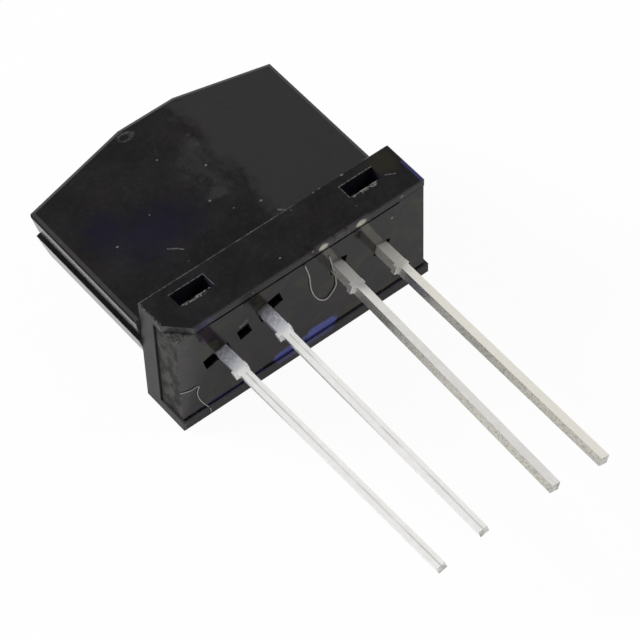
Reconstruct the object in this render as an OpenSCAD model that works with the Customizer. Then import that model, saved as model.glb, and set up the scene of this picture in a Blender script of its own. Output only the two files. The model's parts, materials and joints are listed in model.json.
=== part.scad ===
// Reflective optical sensor: an emitter and a detector side by side in a moulded housing,
// toed in so that their optical axes cross in front of the sensing face.
// It lies on its sensing face: +Z is up out of the rear face, +Y runs towards the roof
// and the leads leave towards -Y. The origin is on the seating plane, under the middle.

/* [Flange] */
// Distance from the middle of the sensor to the left end of the flange
flange_left = 6.87; // [6.3:0.01:7.5]
// Distance from the middle of the sensor to the right end of the flange
flange_right = 6.93; // [6.3:0.01:7.5]
// Depth of the flange along the leads
flange_d = 2.72; // [2.5:0.02:3.2]
// Height of the flange from sensing face to rear face
flange_h = 6.54; // [6.3:0.02:7.2]
// Thickness of the rim wall at the rear face
rim_rear = 0.4; // [0.3:0.02:0.6]
// Thickness of the rim wall at the sensing face
rim_front = 0.6; // [0.4:0.02:0.9]
// Thickness of the flange's ends beside the tail of the cover
rim_end = 0.6; // [0.4:0.02:0.8]
// Chamfer along the outer edges of the flange
flange_edge = 0.05; // [0.02:0.01:0.2]
// Cut across the left corner of the rim's rear wall
corner_cut = 1; // [0.1:0.05:1.1]
// How far the rim wall at the sensing face stands out at the right end
rim_lip = 0.14; // [0.05:0.01:0.2]
// Width of each latch window
window_w = 1.8; // [1.4:0.02:2.2]
// Depth of each latch window along the leads
window_d = 0.8; // [0.6:0.02:0.9]
// Distance from the middle of the sensor to the middle of each latch window
window_x = 4.68; // [4.2:0.02:4.9]
// Distance from the seating plane to each latch window
window_y = 1.37; // [1.3:0.01:1.42]

/* [Slab] */
// Distance from the middle of the sensor to the left side of the slab
slab_left = 7.07; // [6.7:0.01:7.3]
// Distance from the middle of the sensor to the right side of the slab
slab_right = 6.48; // [6.3:0.01:6.7]
// Distance from the seating plane to the left corner of the roof
roof_left_y = 10.44; // [10:0.01:10.9]
// Distance from the seating plane to the right corner of the roof
roof_right_y = 10.62; // [10:0.01:10.9]
// Distance from the seating plane to the flat ridge of the roof
ridge_y = 11.82; // [11.4:0.01:12.5]
// Distance from the middle of the sensor to the left end of the ridge
ridge_left = 1.25; // [0.8:0.05:2]
// Distance from the middle of the sensor to the right end of the ridge
ridge_right = 1.83; // [0.8:0.05:2.4]
// Step from the flange's rear face down to the slab's rear face
slab_step = 1.07; // [0.95:0.01:1.1]
// Thickness of the cover, from the slab's rear face to the parting plane
cover_t = 1.45; // [1.3:0.01:1.6]
// Width of the bevel round the slab's rear face
bevel_w = 0.17; // [0.08:0.01:0.24]
// Height of that bevel
bevel_h = 0.07; // [0.04:0.01:0.12]
// Height of the upright band below the bevel
land_h = 0.2; // [0.1:0.02:0.3]
// Draft of the cover's left and right sides, in degrees
cover_draft = 9.5; // [4:0.5:13]
// Draft of the housing's left and right sides, in degrees
housing_draft = 15; // [8:0.5:18]
// Draft of the slab's roof sides, in degrees
roof_draft = 19; // [6:0.5:24]
// Height of the housing's steep side below the parting plane
side_h = 1.25; // [0.8:0.05:1.5]
// How far the nose closes in below that, down to the sensing face
nose_w = 1.5; // [1:0.02:1.8]

/* [Joint between cover and housing] */
// Height of the open groove between cover and housing
groove_h = 0.34; // [0.24:0.02:0.4]
// Depth of that groove
groove_depth = 0.4; // [0.2:0.02:0.5]
// How far the housing stands out beyond the cover at the groove
groove_step = 0.1; // [0.02:0.01:0.16]
// Thickness of the wall round the core pocket
wall = 0.85; // [0.7:0.05:1]
// How far the cover's locating ribs reach into the core pocket
rib_h = 0.6; // [0.3:0.05:1]
// Thickness of the locating ribs
rib_t = 0.5; // [0.4:0.05:0.7]
// Clearance between moulded pieces
fit_gap = 0.05; // [0.03:0.01:0.08]

/* [Base plate] */
// Recess of the base plate and the rim's rear wall behind the rim's front wall
plate_recess = 0.12; // [0.06:0.02:0.2]
// Thickness of the base plate
plate_t = 1.5; // [1.3:0.01:1.6]
// Width of the gap between base plate and flange at the sensing face and the roof side
plate_gap = 0.05; // [0.03:0.01:0.12]
// Width of the gap between the ends of the base plate and the rim's rear wall
end_gap = 0.03; // [0.02:0.01:0.06]
// Width of the open slit between base plate and rim's rear wall, between those ends
slit_h = 0.11; // [0.08:0.01:0.2]
// Distance from the middle of the sensor to the left end of the slit
slit_left = 5.08; // [4:0.02:6]
// Distance from the middle of the sensor to the right end of the slit
slit_right = 5.48; // [4:0.02:6]
// Depth of the slit along the leads
slit_d = 0.9; // [0.4:0.05:1.1]
// How far the ends of the base plate lie inside the ends of the flange
plate_inset = 0.08; // [0.02:0.01:0.15]
// Clearance round each lead in its slot
slot_gap = 0.1; // [0.06:0.01:0.14]
// Extra room above each lead in its slot, left to right
slot_rise = [0, 0.3, 0.25, 0.12];
// Length of each core hole beside the emitter's leads
core_hole_w = 0.66; // [0.5:0.02:0.72]
// Height of each core hole
core_hole_h = 0.7; // [0.3:0.02:0.76]
// Sideways place of each core hole from the middle of the emitter
core_hole_x = [-1.95, 0, 1.87];
// How far each core hole lies above the middle of the leads
core_hole_rise = [0.06, 0.06, 0.3];
// Depth of the core holes
core_hole_depth = 0.9; // [0.4:0.05:1]
// How far each latch nib stands up in its window
nib_h = 0.28; // [0.15:0.01:0.36]
// Width of the nib's crest along the leads
nib_crest = 0.06; // [0.02:0.01:0.1]

/* [Leads] */
// Pitch of the two leads of one package
lead_pitch = 2.54; // [2.4:0.02:2.6]
// Thickness of the square leads
lead_t = 0.46; // [0.4:0.02:0.48]
// Length of the leads below the seating plane
lead_l = 14.58; // [10:0.02:18]
// Width of the lead's shank above the dam bar
shank_w = 0.6; // [0.5:0.02:0.64]
// Distance from the seating plane to the end of the shank
shank_l = 1.2; // [0.8:0.05:2]
// Length of the taper from shank to lead
shank_taper = 0.2; // [0.1:0.05:0.5]
// How far the cut dam bar stands out at the left side of a lead
stub_left = 0.13; // [0.04:0.01:0.25]
// How far the cut dam bar stands out at the right side of a lead
stub_right = 0.03; // [0.02:0.01:0.25]
// Length of that stub along the lead
stub_l = 0.24; // [0.16:0.02:0.5]
// Rise of each lead's tip, left to right
tip_rise = [0.27, 0.21, -0.35, -0.19];
// Sideways shift of each lead's tip, left to right
tip_shift = [0.08, -0.15, -0.18, 0.1];

/* [Packages] */
// Distance from the middle of the sensor to the middle of each package
package_x = 3.21; // [3.1:0.01:3.3]
// Toe-in of each package, in degrees
toe_in = 15; // [12:0.5:16]
// Width of a package
package_w = 3.9; // [3.6:0.05:4]
// Height of a package along its leads
package_l = 5.5; // [5:0.05:6]
// Thickness of a package behind the middle of its leads
package_rear = 0.6; // [0.4:0.02:0.62]
// Thickness of a package in front of the middle of its leads
package_front = 1.5; // [1.2:0.05:1.6]
// Gap between the base plate and the packages
package_gap = 0.1; // [0.04:0.02:0.2]
// Radius of the package's top corners
package_r = 1.1; // [0.5:0.05:1.5]
// Distance from a package's bottom to its lens
lens_y = 3.7; // [3.3:0.05:3.9]
// Radius of the lens dome
lens_r = 1.2; // [1:0.05:1.3]
// How far the lens dome stands out of the package
lens_out = 0.65; // [0.4:0.05:0.8]
// Clearance round a package in its pocket
pocket_gap = 0.06; // [0.04:0.01:0.1]
// Room beside the lens in its sight tunnel
sight_side = 0.12; // [0.08:0.02:0.2]
// Room above and below the lens in its sight tunnel
sight_end = 0.3; // [0.08:0.02:0.5]

/* [Chips] */
// Side of the die pad
pad_w = 1.3; // [1:0.05:1.5]
// Side of the emitter's chip
emitter_chip_w = 0.4; // [0.3:0.02:0.5]
// Side of the detector's chip
detector_chip_w = 0.76; // [0.5:0.02:0.8]
// Thickness of a chip
chip_t = 0.2; // [0.15:0.01:0.3]
// Diameter of the bond wires
wire_d = 0.1; // [0.08:0.01:0.12]

/* [Hidden] */
$fn = 48;
EPS = 0.01;
FAR = 40;
black = "#26262a";
grey = "#3a3a3c";
tin = "#d8d6d0";
clear_epoxy = "#5a6fa8";
dark_epoxy = "#2b2430";
gold = "#d4af37";
silicon = "#50545c";

left_slope = atan2(ridge_y - roof_left_y, slab_left - ridge_left);
right_slope = atan2(ridge_y - roof_right_y, slab_right - ridge_right);
slab_h = flange_h - slab_step;
parting_h = slab_h - cover_t;
cover_z = parting_h + groove_h;
land_z = slab_h - bevel_h - land_h;
nose_h = parting_h - side_h;
lead_h = parting_h;
plate_end_y = plate_recess + plate_t;
mouth_y = plate_end_y + plate_gap;
mouth_top = flange_h - rim_rear;
plate_bottom = rim_front + plate_gap;
plate_top = mouth_top - end_gap;
tail_half = flange_left - rim_end;
nib_w = window_w - 4 * fit_gap;
nib_y = window_y + fit_gap;
package_y = plate_end_y + package_gap;
lens_z = -package_front - lens_out + lens_r;
sight_w = 2 * (lens_r + sight_side);
sight_l = 2 * (lens_r + sight_end);
pad_z = -lead_t / 2;
wire_foot = lead_pitch / 2 - 0.28;
wire_bend = wire_foot / 2;
core_y = package_y + package_l + wall;

// Face of one side in section, from bottom to top: [distance from the middle, height] points.
// DRAFT is the cover's and LOWER the housing's.
function cover_foot(d, draft) = d - (land_z - cover_z) * tan(draft);
function cover_face(d, draft) = [
  [cover_foot(d, draft), cover_z], [d, land_z], [d, slab_h - bevel_h], [d - bevel_w, slab_h]
];
function housing_top(d, draft) = cover_foot(d, draft) + groove_step;
function housing_foot(d, draft, lower) = housing_top(d, draft) - side_h * tan(lower);
function housing_face(d, draft, lower) = [
  [housing_foot(d, draft, lower) - nose_w, 0], [housing_foot(d, draft, lower), nose_h],
  [housing_top(d, draft), parting_h]
];
function block_face(d) = [[d, 0], [d, slab_h]];

// The point as far beyond B as A is before it
function past(a, b) = 2 * b - a;

// One side of the slab: a long prism whose outer face runs on past both ends of FACE
module slab_side(angle, face) {
  below = past(face[1], face[0]);
  beyond = past(face[len(face) - 2], face[len(face) - 1]);
  rotate([0, 0, angle]) rotate([90, 0, 0])
    translate([0, 0, -FAR]) linear_extrude(height = 2 * FAR)
      polygon(concat([[-FAR, below[1]], below], face, [beyond, [-FAR, beyond[1]]]));
}

// The slab between two heights. A plain block has upright sides, set inwards by INSET.
module slab(low, high, inset = 0, kind = "block") {
  left_d = roof_left_y * cos(left_slope) + slab_left * sin(left_slope);
  right_d = roof_right_y * cos(right_slope) + slab_right * sin(right_slope);
  sides = [
    [0, slab_right, cover_draft, housing_draft], [180, slab_left, cover_draft, housing_draft],
    [90, ridge_y, roof_draft, roof_draft],
    [90 + left_slope, left_d, roof_draft, roof_draft], [90 - right_slope, right_d, roof_draft, roof_draft]
  ];
  intersection() {
    translate([-FAR, -FAR, low]) cube([2 * FAR, 2 * FAR, high - low]);
    intersection_for(side = sides)
      slab_side(
        side[0],
        kind == "cover" ? cover_face(side[1], side[2])
          : kind == "housing" ? housing_face(side[1], side[2], side[3]) : block_face(side[1] - inset)
      );
  }
}

// Keeps what lies at or above Y along the leads
module above(y) {
  intersection() {
    children();
    translate([-FAR, y, -FAR]) cube([2 * FAR, FAR, 2 * FAR]);
  }
}

function chamfered(w, h, c) = [
  [c, 0], [w - c, 0], [w, c], [w, h - c], [w - c, h], [c, h], [0, h - c], [0, c]
];

module chamfered_block(size, c) {
  intersection() {
    linear_extrude(height = size[2]) polygon(chamfered(size[0], size[1], c));
    translate([0, size[1], 0]) rotate([90, 0, 0])
      linear_extrude(height = size[1]) polygon(chamfered(size[0], size[2], c));
    rotate([90, 0, 90]) linear_extrude(height = size[0]) polygon(chamfered(size[1], size[2], c));
  }
}

// Puts a piece of the left package in place; the right one is its mirror image
module toed_in() {
  translate([-package_x, 0, lead_h]) rotate([0, -toe_in, 0]) children();
}
module on_right() {
  mirror([1, 0, 0]) children();
}
module both_sides() {
  children();
  on_right() children();
}

// Body of a package with room GAP all round
module package_body(gap = 0) {
  w = package_w / 2 + gap;
  top = package_y + package_l + gap;
  r = package_r + gap;
  translate([0, 0, -package_front - gap])
    linear_extrude(height = package_front + package_rear + 2 * gap)
      union() {
        translate([-w, package_y - gap]) square([2 * w, package_l + 2 * gap - r]);
        for (side = [-1, 1]) translate([side * (w - r), top - r]) circle(r);
        translate([-w + r, package_y]) square([2 * (w - r), top - package_y]);
      }
}

module lens_dome() {
  translate([0, package_y + lens_y, lens_z]) sphere(lens_r);
}

// Free part of a lead, with its shank, taper and the cut ends of the dam bar. LEFT is -1 or 1.
module lead_below(rise, shift, left) {
  half = lead_t / 2;
  stub_x = left > 0 ? -stub_left : -stub_right;
  rotate([-asin(rise / lead_l), 0, asin(shift / lead_l)])
    translate([0, 0, -half]) linear_extrude(height = lead_t)
      union() {
        polygon([
          [-shank_w / 2, 0], [shank_w / 2, 0], [shank_w / 2, -shank_l],
          [half, -shank_l - shank_taper], [half, -lead_l], [-half, -lead_l],
          [-half, -shank_l - shank_taper], [-shank_w / 2, -shank_l]
        ]);
        translate([-shank_w / 2 + stub_x, -shank_l - stub_l / 2])
          square([shank_w + stub_left + stub_right, stub_l]);
      }
}

module shank_above(top) {
  translate([-shank_w / 2, 0, -lead_t / 2]) cube([shank_w, top, lead_t]);
}

// Outer lead of a package, which carries the die pad
module pad_lead(rise = 0, shift = 0, left = 1) {
  translate([-lead_pitch / 2, 0, 0]) {
    shank_above(package_y + lens_y + pad_w / 2);
    lead_below(rise, shift, left);
  }
  translate([-lead_pitch / 2, package_y + lens_y - pad_w / 2, -lead_t / 2])
    cube([lead_pitch / 2 + pad_w / 2, pad_w, lead_t]);
}

// Inner lead of a package, which ends in a post for the bond wire
module post_lead(rise = 0, shift = 0, left = 1) {
  translate([lead_pitch / 2, 0, 0]) {
    shank_above(package_y + lens_y + shank_w / 2);
    lead_below(rise, shift, left);
  }
}

module chip_at_lens(w) {
  translate([-w / 2, package_y + lens_y - w / 2, pad_z - chip_t]) cube([w, w, chip_t]);
}

// Bond wire: a half ring from the chip to the post, with a short leg down to the post
module wire_at_lens() {
  translate([wire_bend, package_y + lens_y, pad_z - chip_t]) rotate([-90, 0, 0])
    rotate_extrude(angle = 180) translate([wire_bend, 0]) circle(d = wire_d);
  translate([2 * wire_bend, package_y + lens_y, pad_z - chip_t]) cylinder(d = wire_d, h = chip_t);
}

module emitter_inside() {
  pad_lead();
  post_lead();
  chip_at_lens(emitter_chip_w);
  wire_at_lens();
}

module detector_inside() {
  pad_lead();
  post_lead();
  chip_at_lens(detector_chip_w);
  wire_at_lens();
}

// Pocket and slanted sight tunnel of one package
module pocket() {
  package_body(pocket_gap);
  translate([-package_w / 2 - pocket_gap, plate_end_y, -package_front - pocket_gap])
    cube([package_w + 2 * pocket_gap, package_gap + package_r, package_front + package_rear + 2 * pocket_gap]);
  translate([-sight_w / 2, package_y + lens_y - sight_l / 2, -FAR]) cube([sight_w, sight_l, FAR - package_front + EPS]);
}

// Hollow of the nose behind the packages, with room INSET left round it
module core_pocket(inset = 0) {
  depth = slab_left - housing_foot(slab_left, roof_draft, roof_draft) + 2 * wall;
  above(core_y + inset) slab(rim_front + wall / 2, parting_h + rib_h, depth + inset);
}

module latch_window() {
  translate([-window_x - window_w / 2, window_y, mouth_top - EPS]) cube([window_w, window_d, rim_rear + 2 * EPS]);
}

// Hollow behind a latch window, down to the tail of the cover
module window_room() {
  translate([-window_x - window_w / 2, mouth_y - EPS, slab_h])
    cube([window_w, window_y + window_d - mouth_y + EPS, mouth_top - slab_h]);
}

module flange() {
  width = flange_left + flange_right;
  translate([-flange_left, plate_recess, 0])
    chamfered_block([width, flange_d - plate_recess, flange_h], flange_edge);
  // front wall of the rim, which stands out and has a lip at the right end
  translate([-flange_left, 0, 0]) chamfered_block([width + rim_lip, mouth_y, rim_front], flange_edge);
}

module housing() color(black) {
  difference() {
    union() {
      flange();
      above(flange_d - flange_edge) slab(0, parting_h, kind = "housing");
    }
    // mouth for the base plate, open at both ends
    translate([-FAR, -FAR, rim_front]) cube([2 * FAR, FAR + mouth_y, mouth_top - rim_front]);
    // room for the tail of the cover
    translate([-tail_half, mouth_y - EPS, parting_h])
      cube([2 * tail_half, flange_d - mouth_y + 2 * EPS, slab_h + fit_gap - parting_h]);
    both_sides() toed_in() pocket();
    core_pocket();
    both_sides() latch_window();
    both_sides() window_room();
    translate([-flange_left, plate_recess, mouth_top - EPS])
      linear_extrude(height = rim_rear + 2 * EPS)
        polygon([[-wall, -wall], [corner_cut + wall, -wall], [-wall, corner_cut + wall]]);
  }
}

module cover_outline() {
  above(flange_d) slab(cover_z, slab_h, kind = "cover");
  above(flange_d) slab(parting_h, cover_z + EPS, slab_left - cover_foot(slab_left, roof_draft) + groove_depth);
  translate([-tail_half + fit_gap, mouth_y + fit_gap, parting_h])
    cube([2 * (tail_half - fit_gap), flange_d - mouth_y - fit_gap + 0.2, slab_h - parting_h]);
}

module rear_cover() color(black) {
  difference() {
    cover_outline();
    both_sides() toed_in() pocket();
  }
  // ribs that locate the cover in the core pocket
  difference() {
    intersection() {
      core_pocket(fit_gap);
      translate([-FAR, 0, parting_h - rib_h]) cube([2 * FAR, FAR, rib_h + EPS]);
    }
    core_pocket(fit_gap + rib_t);
  }
}

// Slots for one package's outer and inner lead, with room RISE above each
module lead_slots(rise) {
  for (i = [0, 1])
    translate([(i - 1 / 2) * lead_pitch - shank_w / 2 - slot_gap, -FAR / 2, -lead_t / 2 - slot_gap])
      cube([shank_w + 2 * slot_gap, FAR, lead_t + 2 * slot_gap + rise[i]]);
}

module core_holes() {
  for (i = [0:len(core_hole_x) - 1])
    translate([core_hole_x[i] - core_hole_w / 2, -FAR, core_hole_rise[i] - core_hole_h / 2])
      cube([core_hole_w, FAR + plate_recess + core_hole_depth, core_hole_h]);
}

// Latch nib: square to the window's edge, sloping off towards the roof
module latch_nib() {
  translate([-window_x - nib_w / 2, 0, 0]) rotate([90, 0, 90])
    linear_extrude(height = nib_w)
      polygon([
        [nib_y, plate_top - EPS], [nib_y, plate_top + nib_h],
        [nib_y + nib_crest, plate_top + nib_h], [plate_end_y, plate_top + nib_h / 2], [plate_end_y, plate_top - EPS]
      ]);
}

module base_plate() color(grey) {
  difference() {
    union() {
      translate([-flange_left + plate_inset, plate_recess, plate_bottom])
        cube([flange_left + flange_right - 2 * plate_inset, plate_t, plate_top - plate_bottom]);
      both_sides() latch_nib();
    }
    translate([-slit_left, 0, mouth_top - slit_h]) cube([slit_left + slit_right, plate_recess + slit_d, slit_h]);
    toed_in() lead_slots([slot_rise[0], slot_rise[1]]);
    on_right() toed_in() lead_slots([slot_rise[3], slot_rise[2]]);
    toed_in() core_holes();
  }
}

module emitter_package() color(clear_epoxy) toed_in()
  difference() {
    union() {
      package_body();
      lens_dome();
    }
    emitter_inside();
  }

module detector_package() color(dark_epoxy) on_right() toed_in()
  difference() {
    union() {
      package_body();
      lens_dome();
    }
    detector_inside();
  }

module emitter_outer_lead() color(tin) toed_in() pad_lead(tip_rise[0], tip_shift[0]);
module emitter_inner_lead() color(tin) toed_in() post_lead(tip_rise[1], tip_shift[1]);
module detector_inner_lead() color(tin) on_right() toed_in() post_lead(tip_rise[2], -tip_shift[2], -1);
module detector_outer_lead() color(tin) on_right() toed_in() pad_lead(tip_rise[3], -tip_shift[3], -1);

module emitter_chip() color(silicon) toed_in() chip_at_lens(emitter_chip_w);
module detector_chip() color(silicon) on_right() toed_in() chip_at_lens(detector_chip_w);
module emitter_bond_wire() color(gold) toed_in() wire_at_lens();
module detector_bond_wire() color(gold) on_right() toed_in() wire_at_lens();

housing();
rear_cover();
base_plate();
emitter_package();
detector_package();
emitter_outer_lead();
emitter_inner_lead();
detector_inner_lead();
detector_outer_lead();
emitter_chip();
detector_chip();
emitter_bond_wire();
detector_bond_wire();
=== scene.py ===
# Scene for the reflective optical sensor: camera, light, finishes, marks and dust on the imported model.
import json
import math

import bpy
from mathutils import Matrix, Vector


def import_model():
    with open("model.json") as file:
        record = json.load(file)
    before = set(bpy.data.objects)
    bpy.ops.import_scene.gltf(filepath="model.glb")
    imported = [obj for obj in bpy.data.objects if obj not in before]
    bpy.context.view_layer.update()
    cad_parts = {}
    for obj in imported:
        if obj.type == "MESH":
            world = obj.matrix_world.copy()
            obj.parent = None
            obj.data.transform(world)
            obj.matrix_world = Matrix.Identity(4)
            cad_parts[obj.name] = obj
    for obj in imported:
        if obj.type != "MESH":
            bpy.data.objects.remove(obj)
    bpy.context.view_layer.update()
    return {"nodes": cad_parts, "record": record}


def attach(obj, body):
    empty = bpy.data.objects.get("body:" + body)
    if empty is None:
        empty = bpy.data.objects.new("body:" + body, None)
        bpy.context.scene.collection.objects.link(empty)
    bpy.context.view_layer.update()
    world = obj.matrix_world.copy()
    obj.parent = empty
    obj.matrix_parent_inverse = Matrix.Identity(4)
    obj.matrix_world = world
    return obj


MM = 0.001

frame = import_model()
nodes = frame["nodes"]


# Helpers for node trees
class Nodes:
    """Short calls for building one node tree; distances are in millimetres."""

    def __init__(self, owner):
        owner.use_nodes = True
        self.owner = owner
        self.tree = owner.node_tree
        self.tree.nodes.clear()

    def add(self, kind, **settings):
        node = self.tree.nodes.new(kind)
        for key, value in settings.items():
            setattr(node, key, value)
        return node

    def put(self, socket, value):
        if isinstance(value, bpy.types.NodeSocket):
            self.tree.links.new(value, socket)
        else:
            socket.default_value = value

    def math(self, operation, a, b=0.0, c=0.0, clamp=False):
        node = self.add("ShaderNodeMath", operation=operation, use_clamp=clamp)
        for socket, value in zip(node.inputs, (a, b, c)):
            self.put(socket, value)
        return node.outputs[0]

    def vector(self, operation, a, b):
        node = self.add("ShaderNodeVectorMath", operation=operation)
        self.put(node.inputs[0], a)
        self.put(node.inputs[1], b)
        return node.outputs["Value" if operation in ("DOT_PRODUCT", "DISTANCE", "LENGTH") else "Vector"]

    def ramp(self, value, low, high, to_low=0.0, to_high=1.0, smooth=True):
        node = self.add("ShaderNodeMapRange", interpolation_type="SMOOTHSTEP" if smooth else "LINEAR")
        for socket, number in zip(node.inputs, (value, low, high, to_low, to_high)):
            self.put(socket, number)
        return node.outputs[0]

    def split(self, vector):
        node = self.add("ShaderNodeSeparateXYZ")
        self.put(node.inputs[0], vector)
        return node.outputs

    def mix(self, factor, a, b):
        node = self.add("ShaderNodeMix", data_type="RGBA")
        self.put(node.inputs[0], factor)
        self.put(node.inputs[6], a if isinstance(a, bpy.types.NodeSocket) else (*a, 1))
        self.put(node.inputs[7], b if isinstance(b, bpy.types.NodeSocket) else (*b, 1))
        return node.outputs[2]

    def blend(self, factor, a, b):
        return self.math("MULTIPLY_ADD", factor, self.math("SUBTRACT", b, a), a)


class Surface(Nodes):
    """A material's node tree, with the place on the model in millimetres."""

    def __init__(self, name):
        super().__init__(bpy.data.materials.new(name))
        place = self.add("ShaderNodeTexCoord").outputs["Object"]
        self.place = self.vector("MULTIPLY", place, (1 / MM, 1 / MM, 1 / MM))
        self.x, self.y, self.z = self.split(self.place)
        self.facing = self.split(self.add("ShaderNodeNewGeometry").outputs["True Normal"])

    def noise(self, scale, detail=2.0, rough=0.5, stretch=None):
        node = self.add("ShaderNodeTexNoise")
        self.put(node.inputs["Vector"], self.vector("MULTIPLY", self.place, stretch) if stretch else self.place)
        node.inputs["Scale"].default_value = scale
        node.inputs["Detail"].default_value = detail
        node.inputs["Roughness"].default_value = rough
        return node.outputs["Fac"]

    def bump(self, height, depth_mm, strength=1.0):
        node = self.add("ShaderNodeBump")
        self.put(node.inputs["Height"], height)
        node.inputs["Distance"].default_value = depth_mm * MM
        node.inputs["Strength"].default_value = strength
        return node.outputs[0]

    def both(self, a, b):
        return self.math("MULTIPLY", a, b)

    def spot(self, middle, radii, soft=0.6, ragged=0.0):
        """1 inside an ellipsoid, fading to 0 at its edge."""
        scaled = self.vector("MULTIPLY", self.vector("SUBTRACT", self.place, middle), [1 / r for r in radii])
        distance = self.vector("LENGTH", scaled, scaled)
        if ragged:
            distance = self.math("MULTIPLY_ADD", self.math("SUBTRACT", self.noise(2.5, 4.0, 0.7), 0.5), ragged, distance)
        return self.ramp(distance, 1.0, 1.0 - soft)

    def line(self, a, b, width, soft=0.5):
        """1 along the way from a to b, fading to 0 at half its width."""
        a, b = Vector(a), Vector(b)
        along = b - a
        from_a = self.vector("SUBTRACT", self.place, a)
        share = self.math("MULTIPLY", self.vector("DOT_PRODUCT", from_a, along), 1 / along.length_squared, clamp=True)
        reach = self.add("ShaderNodeVectorMath", operation="SCALE")
        reach.inputs[0].default_value = along
        self.put(reach.inputs["Scale"], share)
        distance = self.vector("DISTANCE", from_a, reach.outputs[0])
        return self.ramp(distance, width / 2, width / 2 * (1 - soft))

    def strongest(self, masks):
        total = 0.0
        for mask in masks:
            total = self.math("MAXIMUM", total, mask)
        return total

    def flecks(self, scale, share, size=0.25):
        """Small scattered dots in a share of the cells of a grid with SCALE cells per mm."""
        cells = self.add("ShaderNodeTexVoronoi")
        self.put(cells.inputs["Vector"], self.place)
        cells.inputs["Scale"].default_value = scale
        dot = self.ramp(cells.outputs["Distance"], size, size / 2)
        chosen = self.math("LESS_THAN", self.split(cells.outputs["Color"])[0], share)
        return self.both(dot, chosen)

    def finish(self, color, rough, normal=None, specular=None, **sockets):
        shader = self.add("ShaderNodeBsdfPrincipled")
        self.put(shader.inputs["Base Color"], color)
        self.put(shader.inputs["Roughness"], rough)
        if normal:
            self.put(shader.inputs["Normal"], normal)
        if specular:
            self.put(shader.inputs["Specular IOR Level"], specular)
        for name, value in sockets.items():
            self.put(shader.inputs[name.replace("_", " ")], value)
        out = self.add("ShaderNodeOutputMaterial")
        self.put(out.inputs["Surface"], shader.outputs[0])
        return self.owner


# Heights of the faces that carry marks
COVER_Z = 5.47
TOP_Z = 6.54
PLATE_Y = 0.12

# Pale scratches and rubbed edges on the cover and the flange: both ends, and width
SCRATCHES = [
    ((-3.62, 4.95, COVER_Z), (-3.35, 4.75, COVER_Z), 0.1),
    ((-3.3, 4.72, COVER_Z), (-3.1, 4.5, COVER_Z), 0.09),
    ((1.45, 3.6, COVER_Z), (2.1, 2.95, COVER_Z), 0.12),
    ((5.74, 1.42, TOP_Z), (6.15, 1.2, TOP_Z), 0.06),
    ((-5.6, 2.19, TOP_Z), (-3.8, 2.19, TOP_Z), 0.07),
    ((-3.76, 2.17, TOP_Z), (-3.74, 1.4, TOP_Z), 0.05),
    ((3.76, 2.19, TOP_Z), (5.6, 2.19, TOP_Z), 0.07),
    ((3.75, 2.2, TOP_Z), (3.75, 1.42, TOP_Z), 0.06),
]
# Pale grains on the same pieces: place and radius
GRAINS = [
    ((-0.94, 9.29, COVER_Z), 0.08),
    ((0.56, 7.66, COVER_Z), 0.1),
    ((-0.55, 5.93, COVER_Z), 0.09),
    ((1.18, 4.49, COVER_Z), 0.09),
    ((-3.09, 6.99, COVER_Z), 0.06),
    ((0.0, 4.93, COVER_Z), 0.06),
    ((-5.25, 6.45, COVER_Z), 0.09),
    ((-0.72, 2.72, TOP_Z), 0.11),
    ((1.13, 2.7, TOP_Z), 0.09),
    ((2.7, 2.68, TOP_Z), 0.1),
    ((3.05, 2.7, TOP_Z), 0.1),
    ((4.28, 2.66, TOP_Z), 0.13),
    ((-0.68, 0.73, TOP_Z), 0.09),
    ((0.65, PLATE_Y, 6.48), 0.09),
    ((-2.64, PLATE_Y, 6.32), 0.09),
    ((5.62, PLATE_Y, 6.36), 0.14),
]


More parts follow.
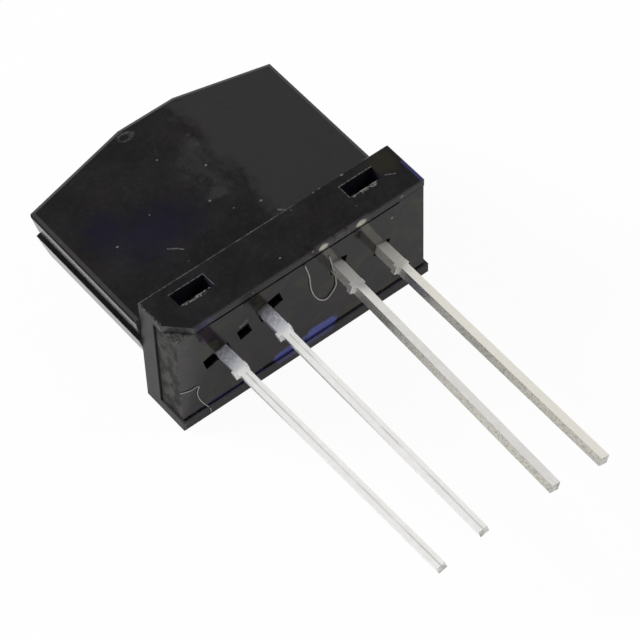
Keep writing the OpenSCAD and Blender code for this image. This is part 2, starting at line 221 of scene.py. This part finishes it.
def black_plastic():
    s = Surface("black_plastic")
    cloud = s.noise(0.6, 4.0, 0.6)
    hue = s.noise(0.45, 2.0)
    fine = s.noise(3.5, 5.0, 0.75)
    color = s.mix(cloud, (0.008, 0.0075, 0.0085), (0.016, 0.0155, 0.0165))
    color = s.mix(s.ramp(hue, 0.5, 0.7, 0, 0.45), color, (0.016, 0.0115, 0.0105))
    color = s.mix(s.ramp(fine, 0.4, 0.7, 0, 0.4), color, (0.024, 0.023, 0.025))
    indigo = s.strongest([
        s.spot((-3.4, 6.1, COVER_Z), (3.0, 2.0, 1), 0.9, 1.2),
        s.spot((-5.2, 7.4, COVER_Z), (1.6, 1.6, 1), 0.9, 1.2),
    ])
    color = s.mix(s.both(indigo, 0.85), color, (0.01, 0.009, 0.021))
    on_cover = s.ramp(s.z, 5.6, 5.5)

    # satin right part of the cover, with smears of the same haze left of its border
    ragged = s.math("MULTIPLY_ADD", s.math("SUBTRACT", s.noise(0.8, 5.0, 0.65), 0.5), 3.2, s.x)
    satin = s.both(s.ramp(ragged, 0.9, 1.9), on_cover)
    smear_area = s.spot((0.5, 7.6, COVER_Z), (1.9, 2.9, 1), 0.7)
    smear = s.both(smear_area, s.ramp(s.noise(1.3, 6.0, 0.8, stretch=(1, 0.6, 1)), 0.38, 0.6))
    blotch = s.strongest([
        s.spot((0.82, 8.96, COVER_Z), (0.5, 0.75, 1), 0.8, 1.4),
        s.spot((0.1, 6.1, COVER_Z), (0.9, 0.55, 1), 0.8, 1.4),
    ])
    haze = s.strongest([satin, s.both(smear, 0.8), blotch])
    color = s.mix(s.both(haze, 0.85), color, s.mix(fine, (0.012, 0.0105, 0.0115), (0.021, 0.019, 0.02)))
    olive = s.spot((6.1, 2.1, TOP_Z), (0.9, 1.0, 1), 0.6, 0.8)
    color = s.mix(s.both(olive, 0.7), color, (0.022, 0.019, 0.01))

    # painted violet highlights along the right end's edge, on the front rim's top band and above the outermost lead
    violet = s.strongest([
        s.both(s.line((6.86, 1.5, TOP_Z), (6.86, 0.2, TOP_Z), 0.34), 0.6),
        s.line((-1.5, 0.05, 0.6), (-0.5, 0.05, 0.6), 0.5),
        s.line((0.1, 0.05, 0.6), (1.4, 0.05, 0.6), 0.5),
        s.both(s.line((-5.5, PLATE_Y, 6.3), (-5.05, PLATE_Y, 6.35), 0.5), 0.35),
    ])
    color = s.mix(violet, color, (0.05, 0.052, 0.17))

    # the rim's rear wall, seen from the front: a lighter purplish-grey stretch, and painted reflections of the two
    # right leads
    on_wall = s.both(s.ramp(s.y, 0.3, 0.2), s.ramp(s.z, 6.1, 6.15))
    purple = s.both(on_wall, s.both(s.ramp(s.x, 0.2, 0.7), s.ramp(s.x, 3.9, 3.7)))
    color = s.mix(s.both(purple, 0.8), color, (0.05, 0.045, 0.052))
    maroon = s.strongest([
        s.spot((0.62, PLATE_Y, 6.4), (0.4, 0.3, 0.4)),
        s.spot((-2.64, PLATE_Y, 6.3), (0.4, 0.3, 0.4)),
        s.spot((2.5, PLATE_Y, 6.45), (0.14, 0.3, 0.2)),
        s.spot((1.85, PLATE_Y, 6.45), (0.14, 0.3, 0.2)),
    ])
    color = s.mix(s.both(maroon, 0.8), color, (0.012, 0.005, 0.005))
    # cream blobs painted as reflections of the two right leads in the wall
    painted_lead_reflections_on_wall = s.strongest([
        s.spot((1.24, PLATE_Y, 6.35), (0.32, 0.3, 0.2), 0.5, 0.3),
        s.spot((3.33, PLATE_Y, 6.34), (0.36, 0.3, 0.2), 0.5, 0.3),
    ])
    color = s.mix(painted_lead_reflections_on_wall, color, (0.6, 0.57, 0.47))

    # worn edges: the joint to the cover, the flange's left edge and the cut corner
    worn = s.noise(7, 5.0, 0.75)
    joint = s.both(s.ramp(s.math("ABSOLUTE", s.math("SUBTRACT", s.y, 2.69)), 0.08, 0.02), s.ramp(s.z, 6.4, 6.5))
    joint = s.both(joint, s.ramp(s.noise(2.2, 5.0, 0.8), 0.42, 0.62, 0.05, 0.45))
    joint = s.both(joint, s.ramp(s.x, 2.0, 1.2, 0.15, 1.0))
    left_edge = s.both(s.ramp(s.x, -6.72, -6.82), s.both(s.ramp(s.z, 6.4, 6.5), s.ramp(worn, 0.5, 0.6, 0, 0.35)))
    corner = s.both(s.spot((-6.6, 0.35, 6.3), (1.0, 1.1, 0.5), 0.3), s.ramp(s.facing[2], 0.8, 0.4))
    corner = s.both(corner, s.ramp(worn, 0.4, 0.6, 0.15, 0.4))
    nick = s.spot((-1.2, 11.3, COVER_Z), (0.52, 0.34, 1), 0.5, 0.6)
    hollow = s.spot((-1.25, 11.28, COVER_Z), (0.42, 0.24, 1), 0.6, 0.9)
    nick = s.both(s.both(nick, s.math("SUBTRACT", 1.0, hollow)), s.ramp(worn, 0.35, 0.6, 0.2, 1))
    scratches = s.strongest([s.line(a, b, width) for a, b, width in SCRATCHES])
    grains = s.strongest([s.spot(place, (r, 0.7 * r, r), 0.8, 0.8) for place, r in GRAINS])
    rubbed = s.both(scratches, s.ramp(worn, 0.4, 0.6, 0.1, 0.55))
    specks = s.both(s.flecks(3.0, 0.03), 0.12)
    flecked = s.strongest([
        s.line((-5.3, 1.4, TOP_Z), (-4.3, 1.36, TOP_Z), 0.3, 0.7),
        s.line((3.95, 1.4, TOP_Z), (5.1, 1.32, TOP_Z), 0.28, 0.7),
    ])
    flecked = s.both(flecked, s.ramp(s.noise(7, 4.0, 0.75), 0.48, 0.58, 0, 0.9))
    pale = s.strongest([joint, left_edge, corner, s.both(nick, 0.35), rubbed, s.both(grains, 0.8), specks, flecked])
    color = s.mix(pale, color, (0.2, 0.195, 0.19))

    # dark violet inside the latch windows
    across = s.ramp(s.math("ABSOLUTE", s.x), 5.75, 5.65)
    inside = s.both(s.both(s.ramp(s.z, 6.5, 6.45), across), s.both(s.ramp(s.y, 1.3, 1.4), s.ramp(s.y, 2.25, 2.15)))
    color = s.mix(s.both(inside, 0.5), color, (0.02, 0.015, 0.034))
    # the rim's inner faces just beside the base plate catch some light
    beside = s.strongest([
        s.both(s.ramp(s.x, -6.75, -6.8), s.ramp(s.facing[1], -0.8, -0.95)),
        s.both(s.ramp(s.x, -6.75, -6.8), s.both(s.ramp(s.z, 0.62, 0.61), s.ramp(s.facing[2], 0.8, 0.95))),
    ])
    color = s.mix(beside, color, (0.055, 0.053, 0.05))
    # painted light: a purple tint on the front rim's top band, so that the seam's shadow line shows thinner
    lip = s.both(s.both(s.ramp(s.z, 0.62, 0.61), s.ramp(s.z, 0.58, 0.59)), s.ramp(s.y, 0.13, 0.12))
    color = s.mix(s.both(lip, 0.6), color, (0.03, 0.025, 0.05))
    # left side of the slab: dull upright band, glossy drafted faces above and below the groove
    at_left = s.ramp(s.math("MULTIPLY", s.facing[0], -1), 0.6, 0.9)
    down = s.math("MULTIPLY", s.facing[2], -1)
    drafted = s.both(at_left, s.ramp(down, 0.1, 0.14))
    at_end = s.both(at_left, s.ramp(down, 0.1, 0.05))
    land = s.both(at_end, s.ramp(s.y, 2.6, 2.8))
    color = s.mix(drafted, color, s.mix(worn, (0.02, 0.02, 0.019), (0.05, 0.05, 0.047)))
    rough = s.blend(haze, s.ramp(cloud, 0.3, 0.7, 0.17, 0.24), 0.42)
    rough = s.blend(at_end, rough, 0.4)
    rough = s.blend(drafted, rough, 0.05)
    specular = s.blend(at_end, 0.5, s.blend(land, 0.28, 0.0))
    specular = s.blend(drafted, specular, 1.0)
    rough = s.blend(pale, rough, 0.6)
    grain = s.noise(26, 3.0, 0.6)
    bump = s.bump(s.math("MULTIPLY_ADD", pale, 2.0, grain), 0.003)
    return s.finish(color, rough, bump, specular)


def grey_plastic():
    s = Surface("grey_plastic")
    cloud = s.noise(0.8, 4.0, 0.6)
    hue = s.noise(0.7, 3.0, 0.6)
    color = s.mix(cloud, (0.007, 0.0065, 0.0065), (0.012, 0.0115, 0.011))
    color = s.mix(s.ramp(hue, 0.52, 0.62), color, (0.026, 0.023, 0.012))
    color = s.mix(s.ramp(hue, 0.47, 0.4), color, (0.02, 0.012, 0.018))
    # painted bluish highlights along the base plate's lower edge, between the leads
    blue = s.strongest([
        s.line((0.5, PLATE_Y, 0.82), (1.4, PLATE_Y, 0.76), 1.0, 0.4),
        s.both(s.line((0.0, PLATE_Y, 0.85), (0.5, PLATE_Y, 0.8), 0.5, 0.6), 0.7),
        s.both(s.line((-1.5, PLATE_Y, 0.7), (-0.55, PLATE_Y, 0.8), 0.7, 0.4), 0.9),
        s.both(s.line((-5.6, PLATE_Y, 0.7), (-2.4, PLATE_Y, 0.7), 0.16, 0.8), 0.3),
    ])
    color = s.mix(blue, color, (0.08, 0.1, 0.4))
    worn = s.noise(7, 5.0, 0.75)
    corner = s.both(s.spot((-6.75, 0.2, 6.15), (1.0, 1.2, 0.5), 0.3), s.ramp(s.facing[2], 0.4, 0.8))
    corner = s.both(corner, s.ramp(worn, 0.4, 0.62, 0.15, 0.5))
    dust = s.both(s.spot((-6.5, PLATE_Y, 5.75), (0.5, 0.3, 0.8), 0.8), s.ramp(worn, 0.56, 0.64, 0, 0.6))
    nib = s.both(s.ramp(s.z, 6.24, 6.3), s.ramp(s.noise(4.5, 4.0, 0.7), 0.45, 0.55))
    marks = s.strongest([
        s.line((-3.45, PLATE_Y, 4.56), (-3.05, PLATE_Y, 4.72), 0.08),
        s.line((-5.5, PLATE_Y, 3.72), (-5.25, PLATE_Y, 3.76), 0.07),
        s.spot((5.05, PLATE_Y, 5.33), (0.1, 0.1, 0.1)),
        s.both(s.flecks(3.0, 0.03), 0.15),
    ])
    pale = s.strongest([corner, s.both(dust, 0.6), nib, marks])
    at_end = s.ramp(s.math("MULTIPLY", s.facing[0], -1), 0.6, 0.9)
    # painted shade: the plate's ends darker where they sit inside the rim
    painted_shade_in_rim = s.both(s.ramp(s.y, 0.15, 0.35), s.ramp(s.math("ABSOLUTE", s.x), 6.7, 6.6))
    color = s.mix(painted_shade_in_rim, color, (0.004, 0.0035, 0.0035))
    color = s.mix(pale, color, (0.2, 0.198, 0.19))
    mottle = s.ramp(s.noise(1.6, 5.0, 0.7), 0.4, 0.62)
    color = s.mix(at_end, color, s.mix(mottle, (0.01, 0.0095, 0.009), (0.026, 0.025, 0.023)))
    rough = s.blend(at_end, s.ramp(cloud, 0.3, 0.7, 0.06, 0.1), s.ramp(mottle, 0, 1, 0.5, 0.32))
    rough = s.blend(pale, rough, 0.6)
    # faint beige streaks above the two right leads, painted as their reflections, dull ones above the two left leads
    painted_lead_reflections_on_plate = s.strongest([
        s.line((1.9, PLATE_Y, 4.7), (1.35, PLATE_Y, 6.1), 0.5, 0.5),
        s.line((4.35, PLATE_Y, 4.1), (3.45, PLATE_Y, 6.1), 0.5, 0.5),
    ])
    color = s.mix(s.both(painted_lead_reflections_on_plate, 0.8), color, s.mix(worn, (0.04, 0.037, 0.032), (0.2, 0.19, 0.16)))
    dull = s.strongest([
        s.line((-4.5, PLATE_Y, 4.1), (-5.4, PLATE_Y, 6.1), 0.8),
        s.line((-2.05, PLATE_Y, 4.75), (-2.7, PLATE_Y, 6.1), 0.8),
    ])
    specular = s.blend(at_end, s.blend(dull, 0.5, 0.15), 0.1)
    grain = s.noise(22, 3.0, 0.6)
    return s.finish(color, rough, s.bump(grain, 0.001), specular)


def tinned_metal():
    s = Surface("tinned_metal")
    streak = s.noise(5.0, 4.0, 0.6, stretch=(1, 0.12, 1))
    patch = s.noise(2.2, 4.0, 0.6)
    color = s.mix(s.ramp(patch, 0.35, 0.7), (0.93, 0.92, 0.9), (0.98, 0.975, 0.96))
    # dull and bluish where the two left leads leave the body
    on_left = s.ramp(s.x, 0.5, -0.5)
    root = s.both(s.ramp(s.y, -1.5, -0.8), on_left)
    color = s.mix(s.both(root, 0.8), color, (0.84, 0.86, 0.97))
    speckle = s.both(s.both(s.ramp(s.y, -1.1, -0.6), on_left), s.ramp(s.noise(8, 4.0, 0.7), 0.42, 0.58))
    color = s.mix(s.both(speckle, 0.5), color, (0.3, 0.3, 0.32))
    on_right = s.math("SUBTRACT", 1.0, on_left)
    color = s.mix(s.both(on_right, s.ramp(patch, 0.4, 0.6, 0.4, 0.8)), color, (0.8, 0.79, 0.76))
    flank = s.both(s.ramp(s.math("MULTIPLY", s.facing[0], -1), 0.6, 0.8), on_right)
    # painted shade: the left-facing flanks of the two right leads turn greyer further from the body
    painted_flank_shade = s.both(flank, s.ramp(s.y, -2.5, -7.0, 0.35, 0.7))
    color = s.mix(painted_flank_shade, color, s.mix(patch, (0.3, 0.28, 0.22), (0.62, 0.6, 0.52)))
    # darker specks on the same flanks, stronger further from the body
    flank_specks = s.both(flank, s.ramp(s.noise(9, 4.0, 0.7), 0.5, 0.6))
    color = s.mix(s.both(flank_specks, s.ramp(s.y, -2.5, -7.0, 0.35, 0.6)), color, (0.25, 0.24, 0.21))
    outer = s.both(s.ramp(s.x, 3.9, 4.1), s.ramp(s.facing[2], 0.8, 0.9))
    color = s.mix(s.both(outer, 0.7), color, (0.93, 0.9, 0.8))
    cut_end = s.both(s.ramp(s.y, -14.3, -14.4), s.ramp(s.facing[1], -0.8, -0.95))
    color = s.mix(s.both(cut_end, s.ramp(patch, 0.4, 0.6, 0.3, 0.8)), color, (0.3, 0.29, 0.25))
    # a thin dark drawing line along each of the two left leads
    lines = s.strongest([
        s.line((-4.48, -1.6, 3.95), (-4.47, -14.58, 4.19), 0.13, 0.9),
        s.line((-2.04, -1.6, 4.59), (-2.22, -14.58, 4.73), 0.13, 0.9),
    ])
    color = s.mix(s.both(lines, s.ramp(streak, 0.35, 0.6, 0.2, 0.7)), color, (0.5, 0.5, 0.47))
    rough = s.blend(s.ramp(s.y, -1.5, -1.0), s.ramp(streak, 0.3, 0.7, 0.15, 0.21), 0.42)
    tilt = s.both(s.math("MAXIMUM", s.math("ADD", s.y, 2.3), 0.0), on_left)
    height = s.math("MULTIPLY_ADD", streak, 0.002, s.math("MULTIPLY", tilt, 0.17))
    # the tin is matt, most of all where the two right leads leave the body
    matt = s.both(s.ramp(s.y, -2.1, -1.5), on_right)
    return s.finish(color, rough, s.bump(height, 1.0), Metallic=s.blend(matt, 0.78, 0.45))


def epoxy(name, tint, rough=0.08, clear=0.6):
    s = Surface(name)
    cloud = s.noise(1.2, 2.0)
    color = s.mix(cloud, tint, tuple(0.8 * c for c in tint))
    return s.finish(color, s.ramp(cloud, 0.3, 0.7, rough, rough + 0.06), Transmission_Weight=clear)


def plain_metal(name, tint, rough):
    s = Surface(name)
    grain = s.noise(20, 3.0)
    color = s.mix(grain, tint, tuple(0.85 * c for c in tint))
    return s.finish(color, s.ramp(grain, 0.3, 0.7, rough, rough + 0.1), Metallic=1.0)


def dust():
    s = Surface("dust")
    color = s.mix(s.noise(3), (0.42, 0.41, 0.4), (0.62, 0.6, 0.58))
    return s.finish(color, 0.7)


FINISHES = {
    "black_plastic": black_plastic(),
    "grey_plastic": grey_plastic(),
    "tinned_lead": tinned_metal(),
    "clear_epoxy": epoxy("clear_epoxy", (0.35, 0.45, 0.75)),
    "dark_epoxy": epoxy("dark_epoxy", (0.05, 0.02, 0.05), clear=0.3),
    "chip": plain_metal("chip", (0.2, 0.21, 0.25), 0.1),
    "bond_wire": plain_metal("bond_wire", (0.9, 0.65, 0.25), 0.2),
}
slot_of = {part["node"]: part["material_slot"] for part in frame["record"]["subparts"]}
for name, node in nodes.items():
    node.data.materials.clear()
    node.data.materials.append(FINISHES[slot_of[name]])


# Two fibres of dust: thickness and places
FIBRES = {
    "fibre_by_inner_lead": (0.06, [
        (0.16, 0.08, 5.94), (0.35, 0.08, 5.09), (0.45, 0.08, 4.01), (0.68, 0.08, 3.29),
        (0.99, 0.08, 2.85), (1.28, 0.08, 2.71), (1.51, 0.08, 2.85), (1.78, 0.08, 3.2),
        (1.81, 0.08, 3.6), (1.67, 0.08, 4.57), (1.5, 0.08, 5.52),
    ]),
    "fibre_at_left_end": (0.04, [
        (-6.83, 0.09, 2.69), (-6.33, 0.09, 2.47), (-5.85, 0.09, 2.34), (-5.94, 0.09, 2.13),
        (-5.93, 0.09, 1.69), (-5.68, 0.08, 0.99), (-5.47, 0.05, 0.58), (-5.42, -0.03, 0.45),
        (-5.42, -0.03, 0.22),
    ]),
}


def fibre(name, thickness, points):
    data = bpy.data.curves.new(name, "CURVE")
    data.dimensions = "3D"
    data.bevel_depth = thickness / 2 * MM
    data.bevel_resolution = 2
    data.resolution_u = 8
    strand = data.splines.new("BEZIER")
    strand.bezier_points.add(len(points) - 1)
    for knot, place in zip(strand.bezier_points, points):
        knot.co = Vector(place) * MM
        knot.handle_left_type = knot.handle_right_type = "AUTO"
    curve = bpy.data.objects.new(name, data)
    mesh = bpy.data.meshes.new_from_object(curve)
    bpy.data.objects.remove(curve)
    piece = bpy.data.objects.new(name, mesh)
    bpy.context.scene.collection.objects.link(piece)
    piece.data.materials.clear()
    piece.data.materials.append(DUST)
    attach(piece, "root")


DUST = dust()
for name, (thickness, points) in FIBRES.items():
    fibre(name, thickness, points)


# Floor, which the camera sees as nearly white and which keeps the sensor's shadow
def floor():
    bpy.ops.mesh.primitive_plane_add(size=2.0, location=(0, 0, -0.02 * MM))
    plane = bpy.context.object
    plane.name = "floor"
    n = Nodes(bpy.data.materials.new("floor"))
    path = n.add("ShaderNodeLightPath").outputs
    paper = n.add("ShaderNodeBsdfDiffuse")
    paper.inputs["Color"].default_value = (0.9, 0.9, 0.9, 1)
    white = n.add("ShaderNodeEmission")
    white.inputs["Strength"].default_value = 1.0
    to_camera = n.math("MULTIPLY", path["Is Camera Ray"], 0.95)
    to_gloss = n.math("MULTIPLY", path["Is Glossy Ray"], 0.15)
    mixed = n.add("ShaderNodeMixShader")
    n.put(mixed.inputs[0], n.math("MAXIMUM", to_camera, to_gloss))
    n.put(mixed.inputs[1], paper.outputs[0])
    n.put(mixed.inputs[2], white.outputs[0])
    out = n.add("ShaderNodeOutputMaterial")
    n.put(out.inputs["Surface"], mixed.outputs[0])
    plane.data.materials.append(n.owner)


# Dark flags over the sensor that its gloss reflects: direction, and half angles where each starts and ends
FLAGS = [((0.364, 0.484, 0.796), 8, 23), ((-0.083, -0.484, 0.871), 18, 40)]


def world():
    studio = bpy.data.worlds.new("studio")
    bpy.context.scene.world = studio
    n = Nodes(studio)
    path = n.add("ShaderNodeLightPath").outputs
    direction = n.add("ShaderNodeTexCoord").outputs["Generated"]
    shade = 0.0
    for middle, inner, outer in FLAGS:
        aligned = n.vector("DOT_PRODUCT", direction, Vector(middle).normalized())
        flag = n.ramp(aligned, math.cos(math.radians(outer)), math.cos(math.radians(inner)))
        shade = n.math("MAXIMUM", shade, flag)
    gloss = n.blend(shade, 1.0, 0.06)
    seen = n.math("MAXIMUM", path["Is Camera Ray"], path["Is Transmission Ray"])
    level = n.blend(path["Is Glossy Ray"], n.blend(seen, 0.45, 1.0), gloss)
    back = n.add("ShaderNodeBackground")
    n.put(back.inputs["Strength"], level)
    out = n.add("ShaderNodeOutputWorld")
    n.put(out.inputs["Surface"], back.outputs[0])


def lamp(name, toward, distance, size, power):
    data = bpy.data.lights.new(name, "AREA")
    data.shape = "DISK"
    data.size = size
    data.energy = power
    lamp_object = bpy.data.objects.new(name, data)
    # the world's bright surround is what the gloss reflects, so no lamp leaves a glare
    lamp_object.visible_glossy = False
    bpy.context.scene.collection.objects.link(lamp_object)
    direction = Vector(toward).normalized()
    lamp_object.location = direction * distance
    lamp_object.rotation_euler = (-direction).to_track_quat("-Z", "Y").to_euler()


# Camera, fitted to the photograph
def camera():
    place = Vector((-52.34, -70.74, 117.83)) * MM
    aim = Vector((1.54, 1.0, 0.0)) * MM
    roll = math.radians(2.31)
    data = bpy.data.cameras.new("camera")
    data.sensor_width = 36.0
    data.lens = 3300 / 640 * 36.0
    data.clip_start = 0.005
    data.clip_end = 10.0
    camera_object = bpy.data.objects.new("camera", data)
    bpy.context.scene.collection.objects.link(camera_object)
    turn = (aim - place).to_track_quat("-Z", "Y").to_matrix() @ Matrix.Rotation(-roll, 3, "Z")
    camera_object.matrix_world = Matrix.Translation(place) @ turn.to_4x4()
    bpy.context.scene.camera = camera_object


floor()
world()
lamp("key", (-0.6, 0.65, 0.47), 0.6, 0.3, 4.0)
lamp("fill", (0.7, -0.3, 0.6), 0.6, 0.3, 0.6)
camera()
bpy.context.scene.view_settings.view_transform = "Standard"
